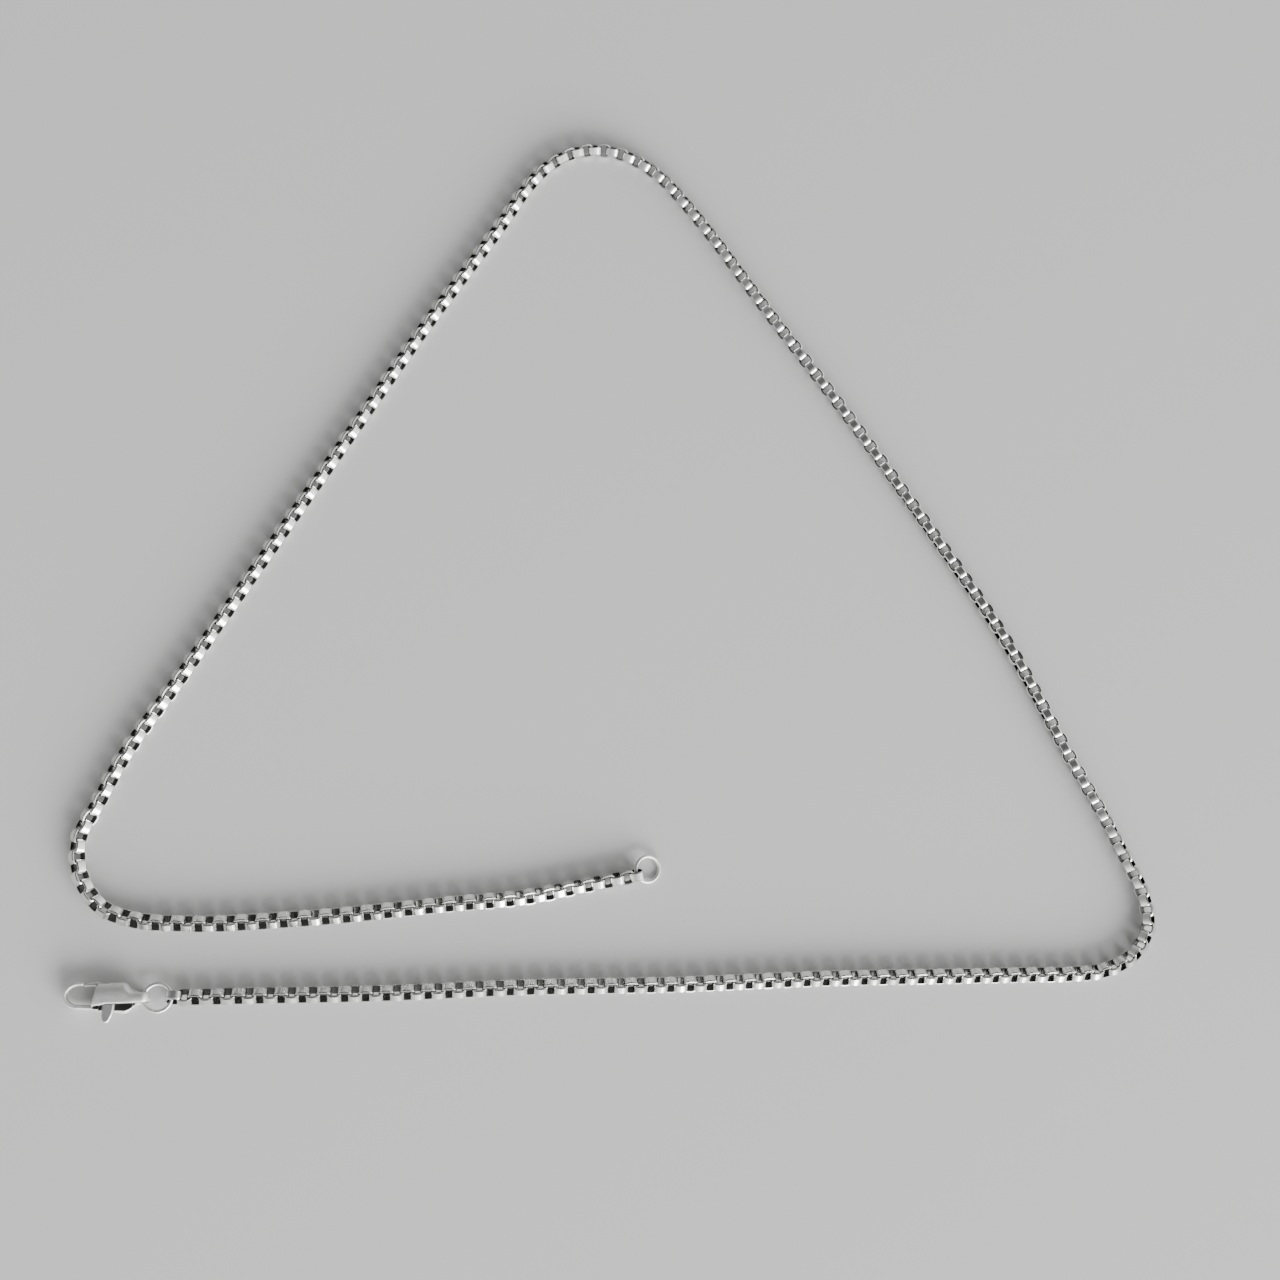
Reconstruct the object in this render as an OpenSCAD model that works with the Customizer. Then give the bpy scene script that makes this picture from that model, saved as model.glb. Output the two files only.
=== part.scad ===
// Box chain necklace of polished steel, lying open in a loose triangle.
// Millimetres, +Z up, the surface that it lies on is z = 0.

/* [Box links] */
// Outside width of a link, over its two plates
link_w = 2.4; // [2.2:0.1:2.7]
// Outside length of a link along the chain
link_len = 2.5; // [2.3:0.1:2.7]
// Width of the flat strip that a link is bent from
strip_w = 1.4; // [1.2:0.05:1.5]
// Thickness of that strip
strip_t = 0.35; // [0.25:0.05:0.4]
// Outside radius where the strip turns a corner
corner_r = 0.95; // [0.6:0.05:1.1]
// How far the link at the clasp leans back from lying flat, in degrees
clasp_link_lean = 20; // [0:1:26]
// How far the link at the end ring leans forward, in degrees
ring_link_lean = 15; // [0:1:30]

/* [Rings] */
// Outside diameter of the end ring and of the clasp's jump ring
ring_d = 4.7; // [4.4:0.1:5.2]
// Wire of both rings
ring_wire = 0.6; // [0.5:0.05:0.65]
// Width of the cut in the jump ring
ring_cut = 0.12; // [0.05:0.01:0.3]
// Place of that cut on the ring, in degrees from the side of the chain
ring_cut_at = 250; // [200:5:320]
// Turn of the end ring to the back of the chain's line, in degrees
end_ring_turn = 16; // [0:1:18]
// Side on which the end ring lies lowest, in degrees from +X
end_ring_low = -20; // [-40:1:0]

/* [Clasp body] */
// Length of the clasp from hook to tail
clasp_len = 12.6; // [12:0.1:14]
// Length of the body behind the hook's opening, along the tail's line
body_len = 8.1; // [7.8:0.1:8.6]
// Slant of the body's front end, in degrees
front_slant = 13; // [0:1:16]
// Width of the body at its belly
belly_w = 4.7; // [4.2:0.1:5.4]
// Thickness of the clasp
clasp_t = 3; // [2.7:0.1:3.4]
// Width of the narrow tail
tail_w = 2.2; // [1.7:0.1:2.4]
// Length of the narrow tail
tail_len = 2.3; // [2.2:0.1:2.8]
// Length over which the belly narrows to the tail
neck_len = 1.6; // [1.2:0.1:2.2]
// Diameter of the eye through the tail
eye_d = 2.1; // [1.9:0.05:2.2]
// Metal behind the eye
eye_wall = 0.4; // [0.35:0.05:0.6]

/* [Hook] */
// Thickness of the hook seen from above, at its tip
hook_bar = 0.6; // [0.5:0.05:0.8]
// Thickness of the hook where it leaves the body
hook_root = 0.84; // [0.7:0.02:1]
// Height of the hook at its tip
hook_tip_h = 1.3; // [1:0.1:1.7]
// Height of the hook where it leaves the body
hook_root_h = 2.2; // [1.8:0.1:2.4]
// Distance from the tail's line to the middle of the hook's lower bar
hook_drop = 1.2; // [1.1:0.05:1.3]
// Distance from the tail's line to the middle of the hook's upper bar
hook_rise = 2.2; // [2:0.05:2.3]
// Half length of the hook's curve
hook_bend = 2; // [1.8:0.1:2.2]

/* [Lever] */
// Thickness of the lever
lever_t = 0.9; // [0.7:0.05:1.1]
// Gap between the lever and each side of its slot
slot_gap = 0.1; // [0.06:0.01:0.15]
// Distance of the rivet from the end of the tail
pivot_back = 6.05; // [5.8:0.05:6.3]
// Distance of the rivet from the tail's line
pivot_side = 0.8; // [0.6:0.05:1]
// Radius of the lever's hub
hub_r = 1; // [0.8:0.05:1.1]
// Length of the thumb tab from the rivet
tab_len = 4.15; // [3.8:0.05:4.5]
// Width of the thumb tab at the body
tab_w = 1.6; // [1.3:0.05:1.8]
// Diameter of the rivet
pin_d = 0.8; // [0.6:0.05:1]
// Running clearance round the rivet
pin_gap = 0.04; // [0.02:0.01:0.08]
// How far the gate opens, in degrees
gate_open = 25; // [15:1:28]

/* [Hidden] */
$fn = 48;

// Gap between pieces that are carried by each other
seat_gap = 0.05;
// Gap between the string of links and each end link
link_gap = 0.1;

// The chain's route on the surface, from the clasp to the end ring
route = [
    [-69.85, -72], [-60, -72], [-42, -72], [-18, -71.5], [6, -71.5], [30, -71], [54, -71],
    [66, -71], [72, -71], [78, -70.5], [83.5, -68], [86.5, -63.5], [86, -57.5], [83.5, -52],
    [81, -46.5], [75.5, -36], [65, -15], [52, 5.5], [38.5, 25.5], [24.5, 45], [14, 60],
    [10.5, 64.5], [6.5, 69], [1.5, 72.5], [-4, 74], [-10, 73], [-14.5, 70], [-18.5, 65],
    [-21.5, 60], [-34.5, 40], [-47, 19.5], [-59.5, -1], [-72, -21.5], [-81.5, -37],
    [-84, -42.5], [-86.5, -48], [-86, -53.5], [-82.5, -58.5], [-77, -60.5], [-71, -61],
    [-53, -60.5], [-29.5, -58.5], [-17.5, -57.5], [-9.5, -56], [-1.5, -54.5]];
// Longest step between the tube's rings on a straight leg, and most turn between them
leg_step = 12;
bend_step = 18;
tube_sides = 8;

// Mean width of the crossed links, seen square on and over their corners
tube_w = (link_w + (link_w + strip_w) / sqrt(2)) / 2;
last = len(route) - 1;
function unit(v) = v / norm(v);
function chord(i) = route[i + 1] - route[i];
function pace(i) = norm(chord(i));
// Slope of the smooth route at point i: the two chords weighted by each other's length
function slope(i) =
    i == 0 ? unit(chord(0)) :
    i == last ? unit(chord(last - 1)) :
    (unit(chord(i)) * pace(i - 1) + unit(chord(i - 1)) * pace(i)) / (pace(i) + pace(i - 1));
function turned(a, b) = acos(min(1, unit(a) * unit(b)));
function cuts(i) = max(ceil(pace(i) / leg_step), ceil(turned(slope(i), slope(i + 1)) / bend_step));
// Cubic between points i and i + 1 that leaves and arrives along their slopes
function between(i, t) =
    route[i] * (2 * t * t * t - 3 * t * t + 1) + route[i + 1] * (3 * t * t - 2 * t * t * t)
    + slope(i) * pace(i) * (t * t * t - 2 * t * t + t)
    + slope(i + 1) * pace(i) * (t * t * t - t * t);
path = concat([for (i = [0:last - 1]) for (k = [0:cuts(i) - 1]) between(i, k / cuts(i))],
              [route[last]]);
rings = len(path);
function heading(k) =
    k == 0 ? slope(0) :
    k == rings - 1 ? slope(last) :
    unit(unit(path[k + 1] - path[k]) + unit(path[k] - path[k - 1]));

// Height of a leaning link's middle when its lowest corner touches the surface
function link_rest(lean) = link_w / 2 * cos(lean) + strip_w / 2 * sin(lean);
function flat_angle(d) = atan2(d[1], d[0]);
function on_plan(p, z) = [p[0], p[1], z];
clasp_link_at = on_plan(route[0] - slope(0) * (link_gap + link_len / 2), link_rest(clasp_link_lean));
ring_link_at = on_plan(route[last] + slope(last) * (link_gap + link_len / 2), link_rest(ring_link_lean));

// A vector tipped by lean degrees, lowest towards the side called low
function spun(v, a) = [v[0] * cos(a) - v[1] * sin(a), v[0] * sin(a) + v[1] * cos(a), v[2]];
function tipped(v, a) = [v[0] * cos(a) + v[2] * sin(a), v[1], v[2] * cos(a) - v[0] * sin(a)];
function leaned(v, lean, low) = spun(tipped(spun(v, -low), lean), low);

ring_r = (ring_d - ring_wire) / 2;
ring_bore = ring_r - ring_wire / 2;
// How far a ring's wire bows towards the ring's middle over the depth of the hole it passes
function bow(deep) = ring_bore - sqrt(ring_bore * ring_bore - deep * deep / 4);
// Room that a leaning ring has in the link that it pulls on, and the place of its wire there
link_play = 0.12;
wire_in_link = link_len / 2 - strip_t - ring_wire / 2 - link_play - bow(strip_w);

// The end ring rests on its low side and passes the middle of the last link
ring_side = flat_angle(slope(last)) + end_ring_turn;
end_ring_lean = asin((ring_link_at[2] - ring_wire / 2) / (ring_r * (1 + cos(ring_side - end_ring_low))));
end_ring_at = on_plan(ring_link_at
                      + (wire_in_link - strip_w / 2 * tan(end_ring_turn)) * on_plan(slope(last), 0)
                      + leaned([ring_r * cos(ring_side), ring_r * sin(ring_side), 0],
                               end_ring_lean, end_ring_low),
                      ring_wire / 2 + ring_r * sin(end_ring_lean));

// The jump ring passes the middle of the first link and of the eye, whose mouths are rounded off
eye_play = eye_d / 2 - ring_wire / 2 - seat_gap;
eye_at = [-eye_wall - eye_d / 2, 0, clasp_t / 2];
eye_depth = 0.82 * tail_w;
wire_in_eye = eye_at + [eye_play - bow(eye_depth), 0, 0];
link_wire_at = clasp_link_at - [wire_in_link, 0, 0];
clasp_ring_lean = asin((wire_in_eye[2] - link_wire_at[2]) / (2 * ring_r));
clasp_ring_at = link_wire_at - leaned([ring_r, 0, 0], clasp_ring_lean, 0);
clasp_at = on_plan(clasp_ring_at - leaned([ring_r, 0, 0], clasp_ring_lean, 0) - wire_in_eye, 0);

// Clasp outlines: x runs to 0 at the end of the tail, y = 0 is the tail's line
function ramp(u) = u <= 0 ? 0 : u >= 1 ? 1 : u * u * (3 - 2 * u);
function mix(a, b, u) = a + (b - a) * u;
belly_x = -tail_len - neck_len;
// The hook's bar starts this deep in the body, and this much further out than its lowest point
hook_start = 0.8;
hook_splay = 0.2;
// The body's near side ends this far outside that bar, and starts to widen nearer the tail
hook_inset = 0.1;
near_neck = 0.45;
front_edge = hook_drop + hook_splay + hook_root / 2 + hook_inset;
nose_r = tail_w / 2;
function back_edge(x) = mix(tail_w, belly_w, ramp((-tail_len - x) / neck_len)) / 2;
function near_edge(x) =
    mix(tail_w / 2, mix(belly_w / 2, front_edge, max(0, (belly_x - x) / (body_len + belly_x))),
        ramp((near_neck - tail_len - x) / (near_neck + neck_len)));
// Round nose at the end of the tail
function nose(x) = x < -nose_r ? 1 : sqrt(1 - pow((x + nose_r) / nose_r, 2));
nose_angles = [20, 40, 60, 78];
body_steps = 14;
body_x = concat([for (k = [0:body_steps]) mix(-body_len, -nose_r, k / body_steps)],
                [for (a = nose_angles) nose_r * (sin(a) - 1)]);
body_sides = 20;
// Squarer than an ellipse: 1 is an ellipse, smaller is flatter on top
fullness = 0.8;
function bulge(v) = sign(v) * pow(abs(v), fullness);
function body_ring(x) = [for (k = [0:body_sides - 1])
    let (a = 360 * k / body_sides,
         side = (cos(a) > 0 ? back_edge(x) : near_edge(x)) * bulge(cos(a)) * nose(x))
    [x + side * tan(front_slant) * ramp((belly_x - x) / (body_len + belly_x)), side,
     clasp_t / 2 * (1 + bulge(sin(a)) * nose(x))]];

// The hook is a bar swept along its lower edge, round its front and back to its tip
hook_mid = [-clasp_len + hook_bar / 2 + hook_bend, (hook_rise - hook_drop) / 2];
hook_half = (hook_rise + hook_drop) / 2;
tip_angle = 70;
arc_steps = 16;
hook_sides = 12;
function hook_point(a) = hook_mid + [hook_bend * cos(a), hook_half * sin(a)];
hook_path = concat(
    [for (u = [1, 0.6]) [mix(hook_mid[0], hook_start - body_len, u), -hook_drop - hook_splay * u]],
    [for (k = [0:arc_steps]) hook_point(mix(270, tip_angle, k / arc_steps))]);
hook_end = len(hook_path) - 1;
function hook_heading(k) = unit(hook_path[min(hook_end, k + 1)] - hook_path[max(0, k - 1)]);
function hook_ring(k) = [for (j = [0:hook_sides - 1])
    let (u = k / hook_end, a = 360 * j / hook_sides, d = hook_heading(k),
         half = mix(hook_root, hook_bar, min(1, 2 * u)) / 2,
         tall = mix(hook_root_h, hook_tip_h, u) / 2)
    [hook_path[k][0] - d[1] * half * cos(a), hook_path[k][1] + d[0] * half * cos(a),
     clasp_t / 2 + tall * sin(a)]];

pivot = [-pivot_back, pivot_side];
hook_tip = hook_point(tip_angle);
reach = norm(hook_tip - pivot) - slot_gap / 2;
pin_r = pin_d / 2;
slot_t = lever_t + 2 * slot_gap;
// The slot reaches this far to the near side of the rivet, for the gate's swing
arm_drop = 1.25;
// The gate arm: how far it stands out of the body, and its width there and at the hook's tip
arm_proud = 0.15;
arm_w = 0.65;
arm_tip_w = 0.4;
tip_inset = 0.05;
// Thumb tab: shares of its width across, to the tail's side, and of its length outwards
tab_outline = [[-0.6, 0], [-0.6, 0.68], [-0.5, 0.88], [-0.2, 1], [0.08, 1], [0.4, 0.72], [0.55, 0]];
tab_left = tab_outline[0][0] * tab_w;
// Room that the opening tab needs on the tail's side, out to the body's edge
tab_swing = belly_w * tan(gate_open) + 0.7 * tab_w;

// Skin through a list of closed rings of points, all with the same number of points
module skin(loops) {
    n = len(loops[0]);
    m = len(loops);
    points = [for (loop = loops) for (p = loop) p];
    sides = [for (i = [0:m - 2]) for (j = [0:n - 1]) for (f = [
        [i * n + j, (i + 1) * n + j, (i + 1) * n + (j + 1) % n],
        [i * n + j, (i + 1) * n + (j + 1) % n, i * n + (j + 1) % n]]) f];
    caps = [[for (j = [0:n - 1]) j], [for (j = [n - 1:-1:0]) (m - 1) * n + j]];
    polyhedron(points, concat(sides, caps), convexity = 10);
}

module rounded_plate(long, wide, r) {
    square([long - 2 * r, wide], center = true);
    square([long, wide - 2 * r], center = true);
    for (x = [-1, 1], y = [-1, 1]) translate([x * (long / 2 - r), y * (wide / 2 - r)]) circle(r);
}

// One box link: a strip bent into a rounded box, with its hole along Y
module box_link() {
    rotate([90, 0, 0]) linear_extrude(strip_w, center = true) difference() {
        rounded_plate(link_len, link_w, corner_r);
        rounded_plate(link_len - 2 * strip_t, link_w - 2 * strip_t, corner_r - strip_t);
    }
}

module lying_ring(at, lean, low, from, sweep) {
    translate(at) rotate([0, 0, low]) rotate([0, lean, 0]) rotate([0, 0, from - low])
        rotate_extrude(angle = sweep) translate([ring_r, 0]) circle(ring_wire / 2);
}

module chain() {
    r = tube_w / 2 / cos(180 / tube_sides);
    color("silver") skin([for (k = [0:rings - 1])
        [for (j = [0:tube_sides - 1])
            let (a = 360 * (j + 0.5) / tube_sides, d = heading(k))
            [path[k][0] - d[1] * r * cos(a), path[k][1] + d[0] * r * cos(a),
             tube_w / 2 + r * sin(a)]]]);
}

module clasp_end_link() {
    color("silver") translate(clasp_link_at) rotate([-clasp_link_lean, 0, flat_angle(slope(0))])
        box_link();
}

module ring_end_link() {
    color("silver") translate(ring_link_at) rotate([ring_link_lean, 0, flat_angle(slope(last))])
        box_link();
}

module end_ring() {
    color("gainsboro") lying_ring(end_ring_at, end_ring_lean, end_ring_low, 0, 360);
}

// The cut faces the front of the clasp's side
module clasp_ring() {
    cut_turn = 360 * ring_cut / (2 * PI * ring_r);
    color("gainsboro")
        lying_ring(clasp_ring_at, clasp_ring_lean, 0, ring_cut_at + cut_turn / 2, 360 - cut_turn);
}

module lever_slot() {
    translate([0, 0, (clasp_t - slot_t) / 2]) {
        translate(pivot) cylinder(r = hub_r + slot_gap, h = slot_t);
        translate([-body_len - 1, pivot[1] - arm_drop, 0])
            cube([body_len + 1 + pivot[0], belly_w, slot_t]);
        translate([pivot[0] + tab_left - slot_gap, -belly_w, 0])
            cube([tab_swing - tab_left + slot_gap, belly_w + pivot[1], slot_t]);
    }
}

module clasp_body() {
    color("lightgray") translate(clasp_at) difference() {
        union() {
            skin([for (x = body_x) body_ring(x)]);
            skin([for (k = [0:hook_end]) hook_ring(k)]);
        }
        lever_slot();
        translate([pivot[0], pivot[1], -1]) cylinder(r = pin_r + seat_gap / 2, h = clasp_t + 2);
        translate([eye_at[0], belly_w, eye_at[2]]) rotate([90, 0, 0]) cylinder(d = eye_d, h = 2 * belly_w);
        intersection() {
            translate(pivot) cylinder(r = reach + slot_gap, h = clasp_t);
            translate([-clasp_len, pivot[1], 0]) cube([clasp_len - body_len - seat_gap, belly_w, clasp_t]);
        }
    }
}

// Gate arm from the hub to the hook's tip, before its end is rounded to its swing
module gate_arm() {
    past_tip = hook_tip[0] - hook_bar;
    tip_out = hook_rise - tip_inset;
    shoulder = belly_w / 2 + arm_proud;
    polygon([[past_tip, tip_out], [-body_len + arm_tip_w, shoulder], [pivot[0], pivot[1] + hub_r],
             [pivot[0] - hub_r, pivot[1]], [-body_len, shoulder - arm_w], [past_tip, tip_out - arm_tip_w]]);
}

module clasp_lever() {
    color("darkgray") translate(clasp_at + [0, 0, (clasp_t - lever_t) / 2]) difference() {
        union() {
            translate(pivot) cylinder(r = hub_r, h = lever_t);
            intersection() {
                linear_extrude(lever_t) gate_arm();
                translate(pivot) cylinder(r = reach, h = lever_t);
            }
            translate(pivot) linear_extrude(lever_t)
                polygon([for (p = tab_outline) [p[0] * tab_w, -p[1] * tab_len]]);
        }
        translate([pivot[0], pivot[1], -1]) cylinder(r = pin_r + pin_gap, h = lever_t + 2);
    }
}

module clasp_pin() {
    color("lightgray") translate(clasp_at + [pivot[0], pivot[1], seat_gap])
        cylinder(r = pin_r, h = clasp_t - 2 * seat_gap);
}

chain();
clasp_end_link();
ring_end_link();
end_ring();
clasp_ring();
clasp_body();
clasp_lever();
clasp_pin();
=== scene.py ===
# %% [markdown]
# # A steel box chain, laid open on a table
# A box chain is a string of small square loops bent from flat strip. Every loop stands a
# quarter turn from its neighbours and passes through them, so two rows of bright plates show
# with dark openings between them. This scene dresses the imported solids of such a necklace:
# real interlocking links, a ring at each end and a lobster clasp with a sprung lever.
#
# The solids come in first. They are the fixed frame: the main lengths below are read from
# them or repeat their driving sizes, small forms such as bevels are the scene's own, and each
# finished piece rides on one of their bodies.

# %% Load the solids
import math

import bmesh
import bpy
import numpy as np
from mathutils import Matrix, Vector


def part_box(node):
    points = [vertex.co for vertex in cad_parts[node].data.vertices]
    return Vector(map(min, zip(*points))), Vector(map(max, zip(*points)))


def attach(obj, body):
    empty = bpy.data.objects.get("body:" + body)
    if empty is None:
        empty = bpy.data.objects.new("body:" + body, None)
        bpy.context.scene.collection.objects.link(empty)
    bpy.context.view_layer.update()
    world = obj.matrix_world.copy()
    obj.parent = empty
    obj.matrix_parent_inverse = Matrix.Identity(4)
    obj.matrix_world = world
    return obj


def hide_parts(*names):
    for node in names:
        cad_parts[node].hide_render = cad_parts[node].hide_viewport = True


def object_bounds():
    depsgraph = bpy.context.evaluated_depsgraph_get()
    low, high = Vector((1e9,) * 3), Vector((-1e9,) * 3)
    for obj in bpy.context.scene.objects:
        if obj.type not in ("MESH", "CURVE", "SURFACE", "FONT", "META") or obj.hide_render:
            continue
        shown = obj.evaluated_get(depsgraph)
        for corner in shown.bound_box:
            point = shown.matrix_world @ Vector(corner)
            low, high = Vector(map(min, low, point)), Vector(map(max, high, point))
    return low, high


MM = 0.001
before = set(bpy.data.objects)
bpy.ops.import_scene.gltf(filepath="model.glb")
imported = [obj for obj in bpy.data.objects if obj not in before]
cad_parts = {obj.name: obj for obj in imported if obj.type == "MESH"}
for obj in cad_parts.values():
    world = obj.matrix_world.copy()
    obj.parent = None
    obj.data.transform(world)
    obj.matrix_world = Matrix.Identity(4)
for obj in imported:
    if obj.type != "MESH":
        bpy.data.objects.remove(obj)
solid_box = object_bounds()
span = (solid_box[1] - solid_box[0]) / MM
print("solids:", ", ".join(sorted(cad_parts)))
print("necklace as it lies: %.1f x %.1f x %.1f mm" % tuple(span))

# %% [markdown]
# ## The camera
# The picture is taken from almost straight above, a little from the near side and from the
# left. A camera needs a place, a direction and a lens. It could be turned by hand until the
# picture fits, but then nobody could read how it stands. Here the place is a distance back
# from the point that the middle of the picture shows, and the three directions of the picture
# (right, up and back to the camera) are the columns of its matrix.

# %% Camera
AIM = Vector((1.0, -15.5, 1.28)) * MM
BACK = Vector((-0.1389, -0.2079, 0.9682)).normalized()
RIGHT = Vector((0.9902, -0.0147, 0.1389)).normalized()
DISTANCE = 240.6 * MM
LENS, SENSOR = 40.58, 36
CLIP_START = 1 * MM


def add_object(name, data):
    """A new object in the scene for a mesh, a lamp or a camera."""
    thing = bpy.data.objects.new(name, data)
    bpy.context.scene.collection.objects.link(thing)
    return thing


def add_camera():
    """Camera at the aim plus the distance along BACK, with RIGHT as the picture's right."""
    data = bpy.data.cameras.new("camera")
    data.sensor_width, data.lens, data.clip_start = SENSOR, LENS, CLIP_START
    camera = add_object("camera", data)
    up = BACK.cross(RIGHT).normalized()
    turn = Matrix((up.cross(BACK), up, BACK)).transposed()
    camera.matrix_world = Matrix.Translation(AIM + BACK * DISTANCE) @ turn.to_4x4()
    bpy.context.scene.camera = camera
    return camera


print("camera at", [round(x / MM, 1) for x in add_camera().location], "mm")

# %% [markdown]
# ## The floor
# The necklace lies on a plain pale surface. One large matt square is enough, at the level of
# the links' lowest edges.

# %% Floor
FLOOR_SIZE = 4.0
FLOOR_COLOUR, FLOOR_ROUGH = (0.60, 0.60, 0.595), 0.9


def node_material(name):
    """A new material, its node tree to add to, and its shader node."""
    material = bpy.data.materials.new(name)
    material.use_nodes = True
    tree = material.node_tree
    return material, tree, tree.nodes["Principled BSDF"]


def add_floor():
    """A square matt sheet at the level that the necklace rests on."""
    half = FLOOR_SIZE / 2
    corners = [(-half, -half, 0), (half, -half, 0), (half, half, 0), (-half, half, 0)]
    mesh = bpy.data.meshes.new("floor")
    mesh.from_pydata(corners, [], [(0, 1, 2, 3)])
    floor = add_object("floor", mesh)
    material, _, shader = node_material("pale_floor")
    shader.inputs["Base Color"].default_value = (*FLOOR_COLOUR, 1)
    shader.inputs["Roughness"].default_value = FLOOR_ROUGH
    mesh.materials.append(material)
    return floor


print("stage:", add_floor().name)

# %% [markdown]
# ## The light
# Polished steel shows its surroundings more than itself, so the room matters as much as the
# metal. A wide low window stands at the lower right, because in the picture the shadows fall
# to the upper left, and the plates and link ends that face the lower right are the white
# ones. The plates that lie nearly level are dark, so the room is dark overhead, where the
# viewer stands, and its walls are light, most of all beside the window. The walls also open
# the shadows. A photograph of a room could be wrapped round the scene instead, but a lamp and
# a few nodes on the direction of view say the same with numbers that can be changed.

# %% Sky and window
SKY_DARK = 0.13
DARK_MIDDLE = (-0.15, 0.15, 0.95)
# cosines of the angle from the dark middle: all wall at the first, all dark at the second
DARK_EDGE = (0.30, 0.85)
# strength of the darkest and of the lightest wall, and the direction of the lightest
WALLS = (0.30, 2.60)
LIGHTEST = (0.6, -0.8, 0.0)
# place in m, width and height in m, power in W
WINDOW_AT, WINDOW_SIZE, WINDOW_POWER = (0.74, -1.24, 0.50), (1.30, 0.80), 50.0


def ramp_between(tree, value, span, ends):
    """Maps value from one pair of numbers to another, straight between them."""
    change = tree.nodes.new("ShaderNodeMapRange")
    for name, number in zip(("From Min", "From Max", "To Min", "To Max"), (*span, *ends)):
        change.inputs[name].default_value = number
    tree.links.new(value, change.inputs["Value"])
    return change.outputs["Result"]


def add_sky():
    """A grey sky whose strength is the dark part's, plus the share of wall (from none within
    32 degrees of the dark middle to all beyond 72) times the wall's own strength, which grows
    with the cosine of the angle to the lightest side."""
    world = bpy.data.worlds.new("sky")
    world.use_nodes = True
    tree = world.node_tree
    look = tree.nodes.new("ShaderNodeTexCoord")

    def towards(direction, span, ends):
        turn = tree.nodes.new("ShaderNodeVectorMath")
        turn.operation = "DOT_PRODUCT"
        turn.inputs[1].default_value = Vector(direction).normalized()
        tree.links.new(look.outputs["Generated"], turn.inputs[0])
        return ramp_between(tree, turn.outputs["Value"], span, ends)

    total = tree.nodes.new("ShaderNodeMath")
    total.operation = "MULTIPLY_ADD"
    tree.links.new(towards(DARK_MIDDLE, DARK_EDGE, (1, 0)), total.inputs[0])
    tree.links.new(towards(LIGHTEST, (-1, 1), WALLS), total.inputs[1])
    total.inputs[2].default_value = SKY_DARK
    back = tree.nodes["Background"]
    back.inputs["Color"].default_value = (1, 1, 1, 1)
    tree.links.new(total.outputs["Value"], back.inputs["Strength"])
    bpy.context.scene.world = world


def add_window():
    """An upright area lamp that faces the aim."""
    data = bpy.data.lights.new("window", "AREA")
    data.shape = "RECTANGLE"
    data.size, data.size_y = WINDOW_SIZE
    data.energy = WINDOW_POWER
    lamp = add_object("window", data)
    lamp.location = WINDOW_AT
    lamp.rotation_euler = (AIM - Vector(WINDOW_AT)).to_track_quat("-Z", "Y").to_euler()
    return lamp


add_sky()
print("lamp:", add_window().name)

# %% [markdown]
# ## The steel
# All the pieces are one metal with different wear. A metal has no colour of its own under
# its shine, so the base colour tints the reflection, and the roughness says how sharp it is.
# One flat colour would look like plastic, so two soft noises vary both: a broad one for
# handling marks, and a fine one for the grain that tumbling leaves, which also lifts the
# surface a little. Inside the links and in the clasp's slot the colour is painted shade: the
# links and the clasp carry a number from 0 to 1 on their surface that mixes in a near black
# there, for the dark that falls in those recesses. The links are the brightest polish; the
# rings and the clasp have the softer shine of tumbling.

# %% Steel materials
# BRIGHT is the polished steel; the near black after it is painted shade for the links' insides
# and the clasp's slot
BRIGHT, SHADE_BLACK = (0.82, 0.83, 0.81), (0.045, 0.045, 0.042)
# name of the surface number that says how much painted shade lies at each vertex
SHADE_ATTRIBUTE = "painted_shade"
# nearly all of a noise lies between these two values
NOISE_SPAN = (0.35, 0.65)
MARKS_MM, MARKS_DETAIL, GRAIN_DETAIL = 2.2, 3.0, 4.0
BUMP_STRENGTH = 0.35


def noise(tree, wave, detail):
    """Noise on Object coordinates, with waves of about so many mm."""
    place = tree.nodes.new("ShaderNodeTexCoord")
    waves = tree.nodes.new("ShaderNodeTexNoise")
    waves.inputs["Scale"].default_value = 1 / (wave * MM)
    waves.inputs["Detail"].default_value = detail
    tree.links.new(place.outputs["Object"], waves.inputs["Vector"])
    return waves.outputs["Fac"]


def mix_colours(tree, share, first, second):
    """Mixes two colours, or a colour and a socket, by share."""
    mix = tree.nodes.new("ShaderNodeMix")
    mix.data_type = "RGBA"
    for socket, colour in ((mix.inputs["A"], first), (mix.inputs["B"], second)):
        if isinstance(colour, tuple):
            socket.default_value = (*colour, 1)
        else:
            tree.links.new(colour, socket)
    tree.links.new(share, mix.inputs["Factor"])
    return mix.outputs["Result"]


def steel(name, bright, dull, rough, grain, lift, with_painted_shade=False):
    """Polished steel. The marks mix its two colours, and the grain, with waves of so many mm,
    sets the roughness between its two values and lifts the surface by lift mm. With the last
    flag, a number on the surface mixes in the near black of painted shade."""
    material, tree, shader = node_material(name)
    shader.inputs["Metallic"].default_value = 1.0
    marks = noise(tree, MARKS_MM, MARKS_DETAIL)
    fine = noise(tree, grain, GRAIN_DETAIL)
    colour = mix_colours(tree, ramp_between(tree, marks, NOISE_SPAN, (0, 1)), bright, dull)
    # painted shade: the surface number mixes a near black into the colour
    if with_painted_shade:
        depth = tree.nodes.new("ShaderNodeAttribute")
        depth.attribute_name = SHADE_ATTRIBUTE
        colour = mix_colours(tree, depth.outputs["Fac"], colour, SHADE_BLACK)
    tree.links.new(colour, shader.inputs["Base Color"])
    tree.links.new(ramp_between(tree, fine, NOISE_SPAN, rough), shader.inputs["Roughness"])
    bump = tree.nodes.new("ShaderNodeBump")
    bump.inputs["Strength"].default_value = BUMP_STRENGTH
    bump.inputs["Distance"].default_value = lift * MM
    tree.links.new(fine, bump.inputs["Height"])
    tree.links.new(bump.outputs["Normal"], shader.inputs["Normal"])
    return material


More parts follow.
